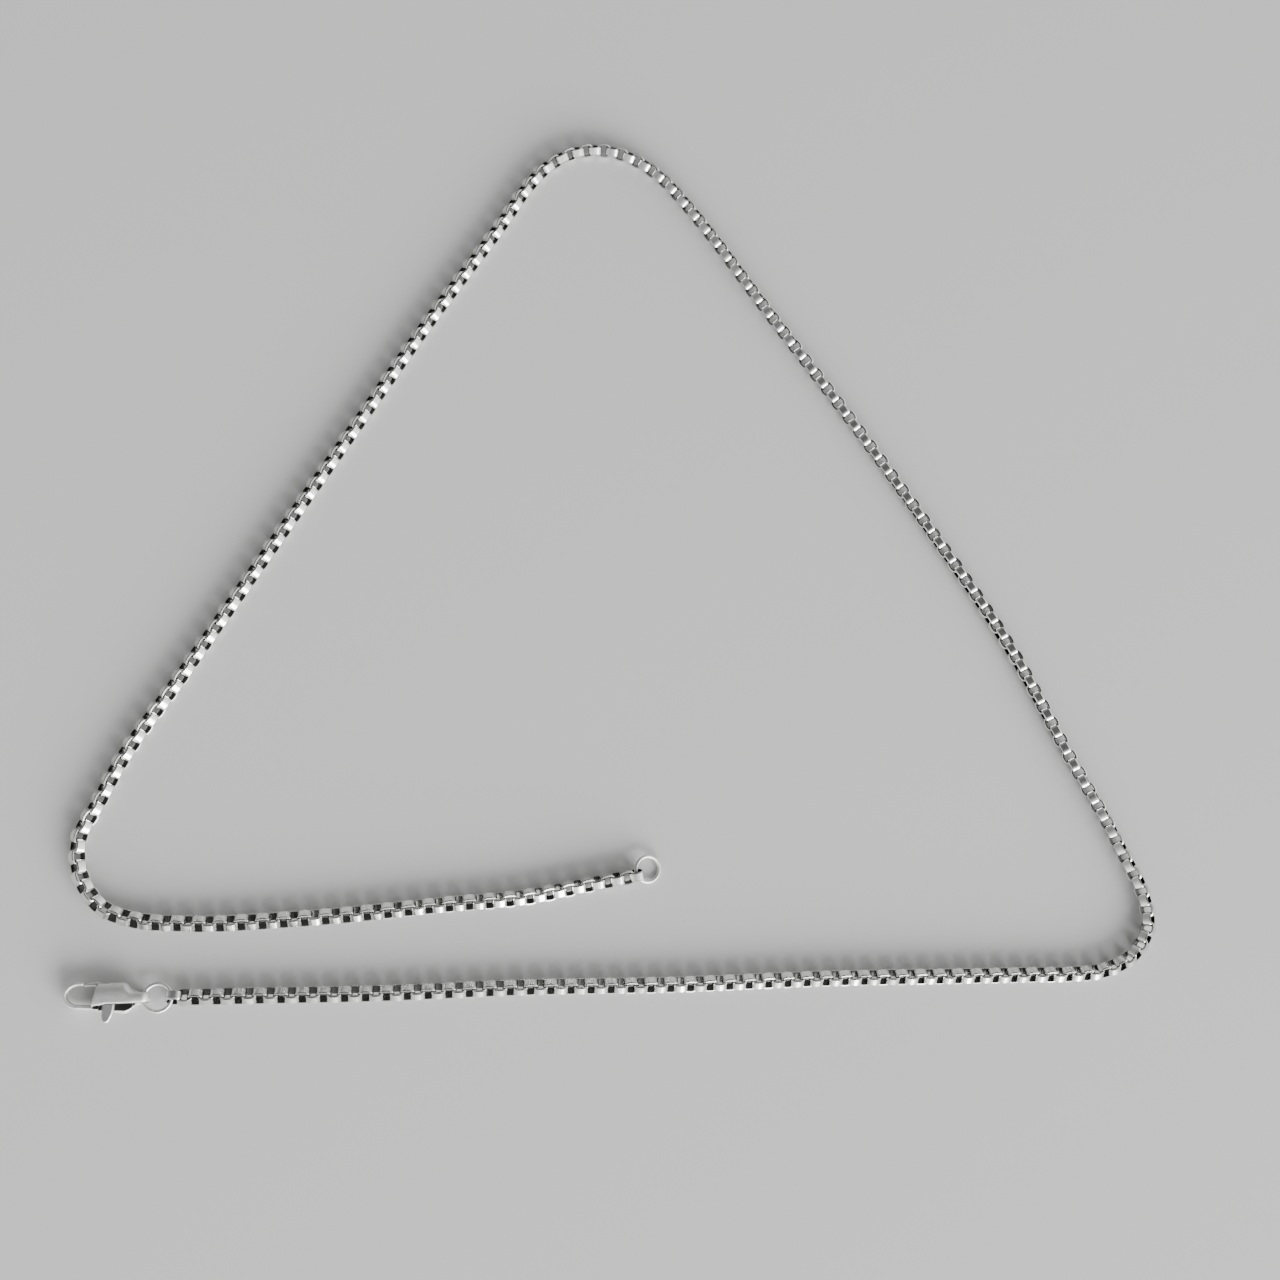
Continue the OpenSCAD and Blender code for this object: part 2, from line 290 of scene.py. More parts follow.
link_steel = steel("link_steel", BRIGHT, (0.72, 0.73, 0.71), (0.14, 0.24),
                   grain=0.35, lift=0.0015, with_painted_shade=True)
ring_steel = steel("ring_steel", BRIGHT, (0.74, 0.75, 0.73), (0.42, 0.50),
                   grain=0.5, lift=0.001)
clasp_steel = steel("clasp_steel", BRIGHT, (0.77, 0.78, 0.76), (0.52, 0.58),
                    grain=0.6, lift=0.001, with_painted_shade=True)
lever_steel = steel("lever_steel", (0.70, 0.71, 0.70), (0.66, 0.67, 0.66), (0.42, 0.46),
                    grain=0.8, lift=0.0004)
print("materials:", ", ".join(m.name for m in bpy.data.materials))

# %% [markdown]
# ## The chain's route
# The chain lies as it fell, so its line has no rule: it is the same list of points that the
# solid tube follows, in millimetres. A curve object could hold it, but the links have to sit
# where the tube is, so the line is worked out in the tube's own way. Between two points runs
# a cubic that leaves and arrives along the slopes there. A slope is the mean of the two
# neighbouring chords, each weighted by the length of the other. The links then need points at
# even distances along the line, which come from adding up the short steps of a fine sampling.

# %% Route
ROUTE = np.array([
    [-69.85, -72], [-60, -72], [-42, -72], [-18, -71.5], [6, -71.5], [30, -71], [54, -71],
    [66, -71], [72, -71], [78, -70.5], [83.5, -68], [86.5, -63.5], [86, -57.5], [83.5, -52],
    [81, -46.5], [75.5, -36], [65, -15], [52, 5.5], [38.5, 25.5], [24.5, 45], [14, 60],
    [10.5, 64.5], [6.5, 69], [1.5, 72.5], [-4, 74], [-10, 73], [-14.5, 70], [-18.5, 65],
    [-21.5, 60], [-34.5, 40], [-47, 19.5], [-59.5, -1], [-72, -21.5], [-81.5, -37],
    [-84, -42.5], [-86.5, -48], [-86, -53.5], [-82.5, -58.5], [-77, -60.5], [-71, -61],
    [-53, -60.5], [-29.5, -58.5], [-17.5, -57.5], [-9.5, -56], [-1.5, -54.5]])
LINK_LEN = 2.5
# gap that the solids keep between the tube and each end link
LINK_GAP = 0.1


def smooth_line(points, steps=24):
    """Points of the cubic through each pair: Hermite weights of t on places and slopes."""
    chords = np.diff(points, axis=0)
    pace = np.linalg.norm(chords, axis=1)[:, None]
    unit = chords / pace
    inner = (unit[1:] * pace[:-1] + unit[:-1] * pace[1:]) / (pace[1:] + pace[:-1])
    slope = np.vstack([unit[:1], inner, unit[-1:]])
    t = np.arange(steps)[None, :, None] / steps
    start, end = points[:-1, None], points[1:, None]
    leave, arrive = (slope[:-1] * pace)[:, None], (slope[1:] * pace)[:, None]
    line = (start * (2 * t**3 - 3 * t**2 + 1) + end * (3 * t**2 - 2 * t**3)
            + leave * (t**3 - 2 * t**2 + t) + arrive * (t**3 - t**2))
    return np.vstack([line.reshape(-1, 2), points[-1:]])


def lengthened(line, more):
    """The line with one straight step of the given length added at each end."""
    first, last = line[0] - line[1], line[-1] - line[-2]
    return np.vstack([line[0] + more * first / np.linalg.norm(first), line,
                      line[-1] + more * last / np.linalg.norm(last)])


line = lengthened(smooth_line(ROUTE), LINK_GAP + LINK_LEN / 2)
reach = np.concatenate([[0], np.cumsum(np.linalg.norm(np.diff(line, axis=0), axis=1))])
print("from the first link's middle to the last one's: %.1f mm" % reach[-1])

# %% [markdown]
# ## Places of the links
# A taut chain has one pitch, at which the strip of each link sits in the rounded inside
# corners of the next one. The number of links is rounded up to an even one, so no space is
# longer than that pitch, and the first and last links are a quarter turn apart, as the
# picture shows them.
#
# The whole string also rolls about its own line as it lies. Letting the links fall in a
# simulation would give a roll, but not the one in the picture. So it is a short table of
# places where the picture shows how far the plates of every other link, from the first one,
# lean to the inside of the loop. Between them it turns evenly, with a degree or so of its own
# for each link. Every link is as high as it, or a neighbour a quarter turn from it, has to be
# for its lowest edge to lie on the floor.

# %% Link places
LINK_W, STRIP_W = 2.4, 1.4
TAUT_PITCH = 1.595
# distance along the line over which a link's heading is taken, to each side of its middle
HEADING_REACH = 0.3
ROLL = np.array([
    # mm along the chain, lean of the first link's plate to the inside of the loop, degrees
    (0, 24), (1.6, 33), (3.2, 41), (8, 44), (80, 48), (150, 47), (170, 44), (190, 25),
    (214, 8), (235, 15), (257, 24), (290, 33), (325, 38), (350, 37), (475, 38), (490, 44),
    (545, 48), (565, 62), (578, 75)], float)
LEAN_SPREAD, LEAN_SEED = 1.2, 7


def line_at(distance):
    """Places on the line at distances from its start, straight between the fine samples."""
    return np.stack([np.interp(distance, reach, axis) for axis in line.T], axis=1)


def rest_height(roll):
    """Half of the larger of two sums: width * cosine + strip * sine of the lean, and the same
    with sine and cosine changed, for a neighbour a quarter turn on."""
    c, s = np.abs(np.cos(roll)), np.abs(np.sin(roll))
    return np.maximum(LINK_W * c + STRIP_W * s, LINK_W * s + STRIP_W * c) / 2


spaces = 2 * math.ceil((reach[-1] / TAUT_PITCH - 1) / 2) + 1
at = np.linspace(0, reach[-1], spaces + 1)
middle = line_at(at)
ahead = line_at(at + HEADING_REACH) - line_at(at - HEADING_REACH)
heading = np.arctan2(ahead[:, 1], ahead[:, 0])
own_lean = np.random.default_rng(LEAN_SEED).normal(0, math.radians(LEAN_SPREAD), len(at))
own_lean[[0, -1]] = 0
roll = np.radians(np.interp(at, *ROLL.T)) + own_lean
height = rest_height(roll)
roll = roll + np.where(np.arange(len(at)) % 2 == 1, math.pi / 2, 0)
print("%d links, pitch %.4f mm, mean height %.2f mm" % (len(at), at[1], height.mean()))

# %% [markdown]
# ## One link
# A link is a flat strip bent round into a rounded box. A cube with a hole and a bevel would
# give its outside, but not the even strip. So it is a profile carried along a path: the path
# is a rounded rectangle, and the profile is the strip's section. The section has six corners,
# because polishing has rounded the outer face's two edges, which catch the light as thin
# bright lines. The strip's inner face, and its cut edges towards it, get painted shade for the
# dark that falls inside the links. The path has four points on each corner, so a link is 96
# small faces, and the whole string stays light.

# %% Link shape
STRIP_T, CORNER_R = 0.35, 0.95
CORNER_POINTS = 4
# the rounded edge: how far it goes across the strip, and how deep
EDGE_ACROSS, EDGE_DEEP = 0.14, 0.12
# painted shade at each of the section's corners, full on the inner face; between two it changes
# evenly
CORNER_SHADE = [1.0, 0.15, 0.0, 0.0, 0.15, 1.0]


def rounded_box_path(length, width, radius):
    """Points and outward normals of a rounded rectangle: a corner centre plus radius times
    the direction at even angles over each quarter turn."""
    turn = np.linspace(0, math.pi / 2, CORNER_POINTS)
    angle = (np.arange(4)[:, None] * math.pi / 2 + turn).ravel()
    side = np.repeat([[1, 1], [-1, 1], [-1, -1], [1, -1]], CORNER_POINTS, axis=0)
    out = np.stack([np.cos(angle), np.sin(angle)], axis=1)
    centre = side * np.array([length / 2 - radius, width / 2 - radius])
    return centre + radius * out, out


def strip_section():
    """Across and outward offsets of the strip's six corners from the middle of its outer
    face."""
    half, flat = STRIP_W / 2, STRIP_W / 2 - EDGE_ACROSS
    return np.array([[-half, -STRIP_T], [-half, -EDGE_DEEP], [-flat, 0],
                     [flat, 0], [half, -EDGE_DEEP], [half, -STRIP_T]])


def link_grid():
    """Vertices of one link, path by section: path point + normal * outward, across on Y."""
    path, out = rounded_box_path(LINK_LEN, LINK_W, CORNER_R)
    section = strip_section()
    x, z = (path[:, None] + out[:, None] * section[None, :, 1:]).transpose(2, 0, 1)
    y = np.broadcast_to(section[:, 0], x.shape)
    return np.stack([x, y, z], axis=-1)


def wrap_faces(rows, columns):
    """Quads of a grid that closes on itself both ways."""
    i, j = np.meshgrid(np.arange(rows), np.arange(columns), indexing="ij")
    i2, j2 = (i + 1) % rows, (j + 1) % columns
    return np.stack([i * columns + j, i2 * columns + j, i2 * columns + j2, i * columns + j2],
                    axis=-1).reshape(-1, 4)


one_link = link_grid()
rows, columns = one_link.shape[:2]
link_faces = wrap_faces(rows, columns)
print("a link has %d vertices and %d faces" % (rows * columns, len(link_faces)))

# %% [markdown]
# ## All the links
# Each link is turned by its roll about the chain's line, then by its heading about the
# vertical, and moved to its place. An array modifier along a curve would repeat the link, but
# couldn't give each one its own roll and height. Done as whole arrays, that is one small
# matrix per link and one product for all the vertices. The result is a single mesh, and its
# number for the painted shade is one repeated list.

# %% Chain mesh
# two faces that meet at less than this many degrees are shaded as one surface
SHARP_EDGE = 35


def turns(roll, heading):
    """One matrix per link: a roll about X after which X turns to the heading about Z. A
    positive roll leans the plate to the left of the heading."""
    cr, sr, ch, sh = np.cos(roll), np.sin(roll), np.cos(heading), np.sin(heading)
    along = np.stack([ch, sh, np.zeros_like(roll)], axis=-1)
    across = np.stack([-sh * cr, ch * cr, -sr], axis=-1)
    up = np.stack([-sh * sr, ch * sr, cr], axis=-1)
    return np.stack([along, across, up], axis=-2)


def mesh_of(name, vertices, faces):
    """A mesh in metres from vertices in mm and blocks of faces, each block an array with one
    face a row. A face's first corner comes after the corners of all the faces before it."""
    mesh = bpy.data.meshes.new(name)
    corners = np.concatenate([block.ravel() for block in faces]).astype(np.int32)
    sizes = np.concatenate([np.full(len(block), block.shape[1]) for block in faces])
    mesh.vertices.add(len(vertices))
    mesh.vertices.foreach_set("co", (vertices * MM).astype(np.float32).ravel())
    mesh.loops.add(len(corners))
    mesh.loops.foreach_set("vertex_index", corners)
    mesh.polygons.add(len(sizes))
    mesh.polygons.foreach_set("loop_start", (np.cumsum(sizes) - sizes).astype(np.int32))
    mesh.update(calc_edges=True)
    mesh.validate()
    return mesh


def add_piece(name, mesh, material, body):
    """A finished mesh as an object at the origin, with its material, riding on its body."""
    mesh.shade_smooth()
    mesh.set_sharp_from_angle(angle=math.radians(SHARP_EDGE))
    mesh.materials.clear()
    mesh.materials.append(material)
    piece = add_object(name, mesh)
    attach(piece, body)
    return piece


def set_painted_shade(mesh, share):
    """Stores the share of painted shade at each vertex, from 0 to 1."""
    values = mesh.attributes.new(SHADE_ATTRIBUTE, "FLOAT", "POINT")
    values.data.foreach_set("value", np.asarray(share, np.float32))


place = np.column_stack([middle, height])
points = np.einsum("rcx,nxy->nrcy", one_link, turns(roll, heading)) + place[:, None, None, :]
first_vertex = np.arange(len(at))[:, None, None] * rows * columns
chain_faces = (link_faces[None] + first_vertex).reshape(-1, 4)
chain_mesh = mesh_of("box_chain", points.reshape(-1, 3), [chain_faces])
# painted shade inside every link, the same list for each
set_painted_shade(chain_mesh, np.tile(CORNER_SHADE, len(at) * rows))
chain = add_piece("box_chain", chain_mesh, link_steel, "root")
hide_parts("chain", "clasp_end_link", "ring_end_link")
print("chain: %d faces, lowest point %.3f mm" % (len(chain_faces), points[..., 2].min()))

# %% [markdown]
# ## The rings
# Both rings are round wire bent round and closed: the end ring is soldered shut, and the jump
# ring keeps the thin cut through which it was opened. Blender's own torus has no cut, so the
# rings are a circle carried along a circle, all the way round or nearly. The solids say where
# each ring lies. A leaning ring's box is higher than its wire, and the extra height gives the
# lean. The ends at the cut are a little rounded, as pliers leave them.

# %% Rings
RING_D, RING_WIRE = 4.7, 0.6
RING_CUT, RING_CUT_AT = 0.12, 250
RING_STEPS, WIRE_STEPS = 144, 28
# degrees of the ring over which a cut end narrows, and what is left of the wire there
END_TURN, END_WIDTH = 1.2, 0.8


def node_box(name):
    """Lowest and highest corner of a solid, in mm."""
    return [np.array(corner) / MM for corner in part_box(name)]


def capped(grid):
    """Vertices and faces of a grid of closed rings with a flat cap at both ends."""
    rows, columns = grid.shape[:2]
    faces = wrap_faces(rows, columns)[:(rows - 1) * columns]
    first, last = np.arange(columns), (rows - 1) * columns + np.arange(columns)
    return grid.reshape(-1, 3), [faces, first[None], last[None, ::-1]]


def lean_matrix(lean, low):
    """Tips the vertical by lean degrees to the side called low, in degrees from +X."""
    turn = Matrix.Rotation(math.radians(low), 3, "Z")
    return np.array(turn @ Matrix.Rotation(math.radians(lean), 3, "Y") @ turn.inverted())


def wire_ring(name, low, start, sweep):
    """Vertices and faces: ring radius times the direction, plus wire radius times the outward
    and upward unit vectors at even angles. An open ring narrows at its ends. The ring's lean
    is the arcsine of its extra height over its radius."""
    corner_a, corner_b = node_box(name)
    radius = (RING_D - RING_WIRE) / 2
    extra = (corner_b - corner_a)[2] / 2 - RING_WIRE / 2
    lean = math.degrees(math.asin(extra / radius))
    closed = sweep >= 360
    steps = np.arange(RING_STEPS if closed else RING_STEPS + 1)
    along = np.radians(start + sweep * steps / RING_STEPS)
    if not closed:
        near_end = math.radians(END_TURN)
        along = np.sort(np.concatenate([along, [along[0] + near_end, along[-1] - near_end]]))
    wire = np.full((len(along), 1), RING_WIRE / 2)
    if not closed:
        wire[[0, -1]] *= END_WIDTH
    along = along[:, None]
    round_wire = 2 * math.pi * np.arange(WIRE_STEPS) / WIRE_STEPS
    out = radius + wire * np.cos(round_wire)
    grid = np.stack([out * np.cos(along), out * np.sin(along), wire * np.sin(round_wire)], -1)
    grid = grid @ lean_matrix(lean, low).T + (corner_a + corner_b) / 2
    if closed:
        return grid.reshape(-1, 3), [wrap_faces(*grid.shape[:2])], lean
    return *capped(grid), lean


half_cut = math.degrees(RING_CUT / (RING_D - RING_WIRE))
for name, piece_name, low, start, sweep in (
        ("end_ring", "end_ring_wire", -20, 0, 360),
        ("clasp_ring", "jump_ring_wire", 0, RING_CUT_AT + half_cut, 360 - 2 * half_cut)):
    vertices, faces, lean = wire_ring(name, low, start, sweep)
    ring = add_piece(piece_name, mesh_of(piece_name, vertices, faces), ring_steel, "root")
    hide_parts(name)
    print("%s: %d vertices, leans %.1f degrees" % (piece_name, len(vertices), lean))

# %% [markdown]
# ## The clasp's outline
# A lobster clasp is cast in one piece and tumbled until its edges are soft: a flat drop with a
# narrow tail for the eye, a curved front end and the hook. It could be shaped from a coarse
# cage of faces that Blender rounds, but then its edges would drift from the solid's. Instead
# its two edges are the same functions of the length as the solid's. They are in millimetres
# from the end of the tail, with the clasp along -X, and y = 0 is the tail's line. The solid
# rivet says where all of this stands.

# %% Clasp outline
CLASP_LEN, CLASP_T, BODY_LEN, BELLY_W = 12.6, 3.0, 8.1, 4.7
TAIL_LEN, TAIL_W, NECK_LEN = 2.3, 2.2, 1.6
# the near side starts to widen this much nearer the tail's end than the far side
NEAR_NECK = 0.45
# the hook's near bar: its distance from the tail's line, how much more it has at its start,
# its width there, and how far the body's near side ends outside it
HOOK_DROP, HOOK_SPLAY, HOOK_ROOT, HOOK_INSET = 1.2, 0.2, 0.84, 0.1
BELLY_X = -TAIL_LEN - NECK_LEN
FRONT_EDGE = HOOK_DROP + HOOK_SPLAY + HOOK_ROOT / 2 + HOOK_INSET
PIVOT = np.array([-6.05, 0.8])


def ramp(u):
    """Smooth step: 3u^2 - 2u^3 between 0 and 1."""
    u = np.clip(u, 0, 1)
    return u * u * (3 - 2 * u)


def front_share(x):
    """0 at the belly, 1 at the body's front end, straight between them."""
    return (BELLY_X - x) / (BODY_LEN + BELLY_X)


def back_edge(x):
    """The far side: half the tail's width, and a smooth step over the neck to half the
    belly's."""
    return (TAIL_W + (BELLY_W - TAIL_W) * ramp((-TAIL_LEN - x) / NECK_LEN)) / 2


def near_edge(x):
    """The near side: as the far one, with a step that starts earlier, to a width that then
    changes evenly from half the belly's to the front edge."""
    wide = BELLY_W / 2 + (FRONT_EDGE - BELLY_W / 2) * np.clip(front_share(x), 0, 1)
    step = ramp((NEAR_NECK - TAIL_LEN - x) / (NEAR_NECK + NECK_LEN))
    return TAIL_W / 2 + (wide - TAIL_W / 2) * step


pin_box = node_box("clasp_pin")
clasp_at = np.array([*((pin_box[0] + pin_box[1]) / 2)[:2] - PIVOT, 0.0])
print("end of the clasp's tail at", clasp_at.round(3), "mm")

# %% [markdown]
# ## The clasp's body
# The section at each place along the body is a squarer ellipse between the two edges. On the
# near side the upper wall is cut back along a crease, so that the thumb tab can be reached,
# and there one looks down into the slot, which is darkened with painted shade, at the bright
# lower lip. A boolean could cut that corner off, but it would leave a hard edge. Here the
# height itself falls at the crease, and the surface stays in one piece.

# %% Body surface
# 1 gives an ellipse, a smaller number a flatter top
FULLNESS = 0.8
FRONT_SLANT = 13
NOSE_STEPS, NOSE_TURN = 16, 85
# x and y of the crease
CREASE = np.array([(-9.0, -1.15), (-8.1, -0.95), (-7.2, -0.85), (-6.2, -0.62), (-1.0, -0.55),
                   (0, -0.42)])
# width over which the height falls at the crease, and the share of it that is left
CREASE_SOFT, LIP_HEIGHT = 0.4, 0.1
# share of the near side's width over which its middle slopes down to the rim
RIM_SHARE = 0.5


def bulge(v):
    """A cosine or sine raised to the fullness, with its sign."""
    return np.sign(v) * np.abs(v) ** FULLNESS


def crease_at(x):
    """The crease's y at x, straight between its points."""
    return np.interp(x, *CREASE.T)


def body_surface(x_steps=110, sides=120):
    """Rings along x: sideways edge(x) * bulge(cos a), up half thickness * bulge(sin a), both
    shrunk by the tail's round nose. Above the middle and nearer than the crease, the height
    over the middle drops quickly to a tenth. The outer half of the near side slopes down at
    45 degrees to its rim. Towards the front each ring is slanted by its sideways part."""
    nose_r = TAIL_W / 2
    turn = np.radians(np.linspace(0, NOSE_TURN, NOSE_STEPS)[1:])
    x = np.concatenate([np.linspace(-BODY_LEN, -nose_r, x_steps), nose_r * (np.sin(turn) - 1)])
    x = x[:, None]
    nose = np.sqrt(1 - np.clip((x + nose_r) / nose_r, 0, 1) ** 2)
    a = 2 * math.pi * np.arange(sides)[None] / sides
    near = near_edge(x) * nose
    side = np.where(np.cos(a) > 0, back_edge(x), near_edge(x)) * bulge(np.cos(a)) * nose
    lift = CLASP_T / 2 * bulge(np.sin(a)) * nose
    over = ramp((crease_at(x) * nose - side) / CREASE_SOFT)
    run = RIM_SHARE * near
    middle = CLASP_T / 2 - np.clip(run - (near + side), 0, run)
    lift = np.where(lift > 0, lift * (1 - (1 - LIP_HEIGHT) * over),
                    lift * middle / (CLASP_T / 2))
    slant = math.tan(math.radians(FRONT_SLANT)) * ramp(front_share(x))
    return np.stack([x + side * slant, side, middle + lift], axis=-1)


body_grid = body_surface()
print("the body is %d rings of %d points" % body_grid.shape[:2])

# %% [markdown]
# ## The hook
# The hook is a bar that leaves the body on its near side, goes round in front of it and ends
# on the far side, where the gate meets its tip. Its width and height change along the way, so
# it is a profile carried along a path, where a curve object with a bevel would keep one
# section. Its tip is closed by a quarter of an ellipse.

# %% Hook surface
HOOK_BAR, HOOK_ROOT_H, HOOK_TIP_H = 0.6, 2.2, 1.3
HOOK_RISE, HOOK_BEND = 2.2, 2.0
# depth of the bar's start in the body, and the places of its two straight points, as shares
# of the way from the curve's middle to that start
HOOK_START, ROOT_SHARES = 0.8, np.array([1, 0.6])
HOOK_MID = np.array([-CLASP_LEN + HOOK_BAR / 2 + HOOK_BEND, (HOOK_RISE - HOOK_DROP) / 2])
ROOT_ANGLE, TIP_ANGLE = 270, 70
# shares of the path at which the tip starts to close, and that it takes to close
TIP_FROM, TIP_RUN = 0.965, 0.036


def hook_arc(degrees):
    """The hook's curve: its middle plus half its length and half its width times the cosine
    and sine of the angle."""
    a = np.radians(degrees)
    half = (HOOK_RISE + HOOK_DROP) / 2
    return HOOK_MID + np.stack([HOOK_BEND * np.cos(a), half * np.sin(a)], axis=-1)


def hook_surface(steps=56, sides=28):
    """An elliptic bar along a straight start and an elliptic arc. Its width falls over the
    first half, its height all the way, and both close at the tip."""
    back = ROOT_SHARES * (HOOK_START - BODY_LEN - HOOK_MID[0])
    root = np.stack([HOOK_MID[0] + back, -HOOK_DROP - HOOK_SPLAY * ROOT_SHARES], axis=1)
    path = np.vstack([root, hook_arc(np.linspace(ROOT_ANGLE, TIP_ANGLE, steps))])
    ahead = np.gradient(path, axis=0)
    ahead /= np.linalg.norm(ahead, axis=1)[:, None]
    u = np.linspace(0, 1, len(path))
    close = np.sqrt(1 - np.clip((u - TIP_FROM) / TIP_RUN, 0, 1) ** 2)
    half = (HOOK_ROOT + (HOOK_BAR - HOOK_ROOT) * np.clip(2 * u, 0, 1)) / 2 * close
    tall = (HOOK_ROOT_H + (HOOK_TIP_H - HOOK_ROOT_H) * u) / 2 * close
    a = 2 * math.pi * np.arange(sides) / sides
    out = half[:, None] * np.cos(a)
    x = path[:, :1] - ahead[:, 1:] * out
    y = path[:, 1:] + ahead[:, :1] * out
    return np.stack([x, y, CLASP_T / 2 + tall[:, None] * np.sin(a)], axis=-1)


hook_grid = hook_surface()
print("the hook is %d rings of %d points" % hook_grid.shape[:2])

# %% [markdown]
# ## Cutters
# The slot, the eye and the way past the hook's tip are cut from the casting with prisms, which
# are outlines given a height. Blender's own cylinders and cubes would do for some of them, but
# a prism takes any outline. The cutters are scratch objects: they are measured in millimetres
# and are removed at the end. The first one is for the eye. It is drilled from the far side to
# the near one, so its prism is made upright and then turned to lie along Y.

# %% Cutters
EYE_D, EYE_WALL = 2.1, 0.4
scratch = []


def scratch_object(name, vertices, faces):
    """A solid in mm with its faces turned outwards, listed to be removed at the end."""
    mesh = bpy.data.meshes.new(name)
    mesh.from_pydata(vertices.tolist(), [], [f for block in faces for f in block.tolist()])
    bm = bmesh.new()
    bm.from_mesh(mesh)
    bmesh.ops.recalc_face_normals(bm, faces=bm.faces)
    bm.to_mesh(mesh)
    bm.free()
    scratch.append(add_object(name, mesh))
    return scratch[-1]


def prism(name, outline, low, high):
    """A prism on the given outline between two heights."""
    outline = np.asarray(outline, float)
    rings = [np.column_stack([outline, np.full(len(outline), z)]) for z in (low, high)]
    return scratch_object(name, *capped(np.stack(rings)))


def circle(centre, radius, start=0.0, stop=360.0, steps=64):
    """Centre plus radius times the direction, at even angles; an arc has its last point too."""
    a = np.radians(np.linspace(start, stop, steps, endpoint=stop - start < 360))
    return np.stack([centre[0] + radius * np.cos(a), centre[1] + radius * np.sin(a)], axis=1)


def rectangle(x0, x1, y0, y1):
    """The four corners of a rectangle, one way round."""
    return [(x0, y0), (x1, y0), (x1, y1), (x0, y1)]


eye = prism("eye", circle((-EYE_WALL - EYE_D / 2, CLASP_T / 2), EYE_D / 2), -CLASP_T, CLASP_T)
eye.data.transform(Matrix.Rotation(math.pi / 2, 4, "X"))
print("the eye's cutter has %d faces" % len(eye.data.polygons))

# %% [markdown]
# ## Cutting and softening the casting
# The slot holds the lever with a little room all round. It is a disc for the hub, an opening
# to the front end and the far side for the gate arm, and one to the near side for the tab,
# wide enough for its swing. The gate's way is a sector round the rivet out to just past the
# hook's tip, so the gate can turn there without touching.
#
# Tumbling then rounds every edge. A bevel can't follow edges where so many cuts meet, so the
# cut casting is rebuilt from small even cells and smoothed a few times. The cells can't be
# smaller than a tenth of a unit of length, which is why the scratch objects are in
# millimetres.

# %% Casting
LEVER_T, HUB_R, SLOT_GAP = 0.9, 1.0, 0.1
# how far the slot goes to the near side of the rivet for the gate, and to the front and to
# the tail of the rivet for the tab
GATE_ROOM, TAB_ROOM = 1.25, (1.06, 3.31)
BODY_CELL, BODY_PASSES = 0.06, 12
LEVER_LEVELS = (CLASP_T / 2 - LEVER_T / 2, CLASP_T / 2 + LEVER_T / 2)
SLOT_LEVELS = (LEVER_LEVELS[0] - SLOT_GAP, LEVER_LEVELS[1] + SLOT_GAP)
# levels of a cut that goes right through the clasp
THROUGH = (-1, CLASP_T + 1)


def cut(thing, operation, other):
    """Joins, cuts or crosses a solid with another one."""
    step = thing.modifiers.new(other.name, "BOOLEAN")
    step.operation, step.solver, step.object = operation, "MANIFOLD", other


def soften(thing, cell, passes):
    """Rebuilds a solid from cells, then moves each vertex halfway to its neighbours' mean."""
    cells = thing.modifiers.new("cells", "REMESH")
    cells.mode, cells.voxel_size = "VOXEL", cell
    smooth = thing.modifiers.new("tumbled", "SMOOTH")
    smooth.factor, smooth.iterations = 0.5, passes


def baked(thing):
    """A new mesh with the modifiers of a scratch object worked out."""
    bpy.context.view_layer.update()
    shown = thing.evaluated_get(bpy.context.evaluated_depsgraph_get())
    return bpy.data.meshes.new_from_object(shown)


pivot_x, pivot_y = PIVOT
tip_x, tip_y = hook_arc(TIP_ANGLE)
swing = math.hypot(tip_x - pivot_x, tip_y - pivot_y) + SLOT_GAP / 2
front_x = -BODY_LEN - SLOT_GAP / 2
gate_start = math.degrees(math.acos((front_x - pivot_x) / swing))
gate_way = np.vstack([circle(PIVOT, swing, gate_start, 180), [(front_x, pivot_y)]])
gate_slot = rectangle(-BODY_LEN - 1, pivot_x, pivot_y - GATE_ROOM, BELLY_W)
tab_slot = rectangle(pivot_x - TAB_ROOM[0], pivot_x + TAB_ROOM[1], -BELLY_W, pivot_y)

casting = scratch_object("casting", *capped(body_grid))
cut(casting, "UNION", scratch_object("hook", *capped(hook_grid)))
cut(casting, "DIFFERENCE", prism("hub_slot", circle(PIVOT, HUB_R + SLOT_GAP), *SLOT_LEVELS))
cut(casting, "DIFFERENCE", prism("gate_slot", gate_slot, *SLOT_LEVELS))
cut(casting, "DIFFERENCE", prism("tab_slot", tab_slot, *SLOT_LEVELS))
cut(casting, "DIFFERENCE", eye)
cut(casting, "DIFFERENCE", prism("gate_way", gate_way, *THROUGH))
soften(casting, BODY_CELL, BODY_PASSES)
softened_mesh = baked(casting)
print("softened casting: %d vertices" % len(softened_mesh.vertices))

# %% [markdown]
# ## The rivet
# The rivet holds the lever and is ground flush with the body on both sides. A plain cylinder
# would stand out of the curved top or stop short of it, so the pin is what a cylinder and the
# uncut casting have in common. Its hole is drilled after the softening and is a hair wider,
# which leaves a fine line round the rivet's head.

# %% Rivet
PIN_R, HAIRLINE = 0.4, 0.005

soft_body = add_object("soft_body", softened_mesh)
scratch.append(soft_body)
cut(soft_body, "DIFFERENCE", prism("pin_hole", circle(PIVOT, PIN_R + HAIRLINE), *THROUGH))
clasp_mesh = baked(soft_body)

uncut_casting = scratch_object("uncut_casting", *capped(body_grid))
soften(uncut_casting, BODY_CELL, BODY_PASSES)
pin = prism("pin_blank", circle(PIVOT, PIN_R), *THROUGH)
cut(pin, "INTERSECT", uncut_casting)
pin_mesh = baked(pin)
print("rivet: %d faces" % len(pin_mesh.polygons))
